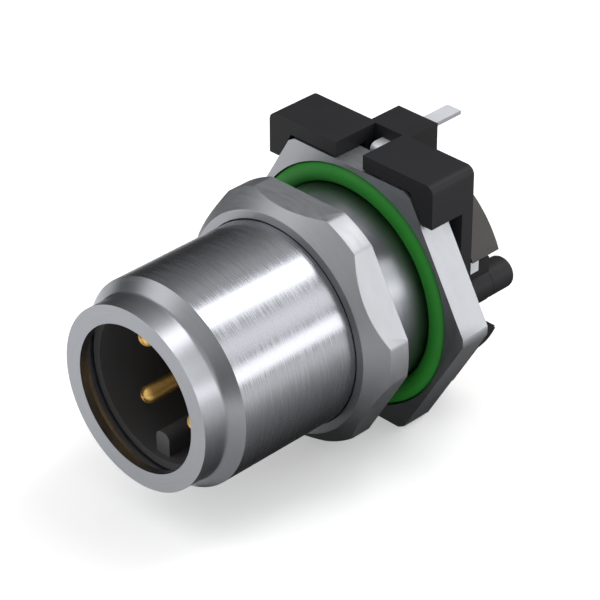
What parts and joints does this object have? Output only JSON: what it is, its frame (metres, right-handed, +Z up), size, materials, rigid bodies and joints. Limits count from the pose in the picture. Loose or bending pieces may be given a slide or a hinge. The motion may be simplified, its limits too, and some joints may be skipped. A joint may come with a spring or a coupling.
{
  "type": "m12 connector",
  "caption": "Male round panel connector: threaded metal barrel with a hexagon nut and flange, green sealing ring, pin contacts, and solder tails, pegs and a ground blade for a circuit board.",
  "frame": {"origin": "on the connector's axis, in the flange face that the panel rests against", "axes": "+Y along the axis from the mouth to the circuit board, +Z up through the holder's flat top, +X to the right seen from the mouth"},
  "size_m": [0.0172, 0.0243, 0.0161],
  "materials": {
    "shell_metal": "turned and nickel plated, finely brushed round the barrel",
    "nut_metal": "nickel plated, satin",
    "green_rubber": "smooth, satin",
    "black_plastic": "moulded, fine matte",
    "gold_contact": "gold plated, polished",
    "tinned_sheet": "tinned, bright"
  },
  "bodies": {
    "housing": {"shell": "shell_metal", "flange_seal": "green_rubber", "contact_carrier": "black_plastic", "carrier_seal": "green_rubber", "contact_pin_1": "gold_contact", "contact_pin_2": "gold_contact", "contact_pin_3": "gold_contact", "contact_pin_4": "gold_contact", "board_holder": "black_plastic", "ground_terminal": "tinned_sheet"},
    "nut": {"panel_nut": "nut_metal"}
  },
  "joints": [
    {"name": "nut_travel", "type": "slide", "parent": "housing", "child": "nut", "axis": [0, 1, 0], "range_m": [-0.0095, 0.0026]}
  ]
}
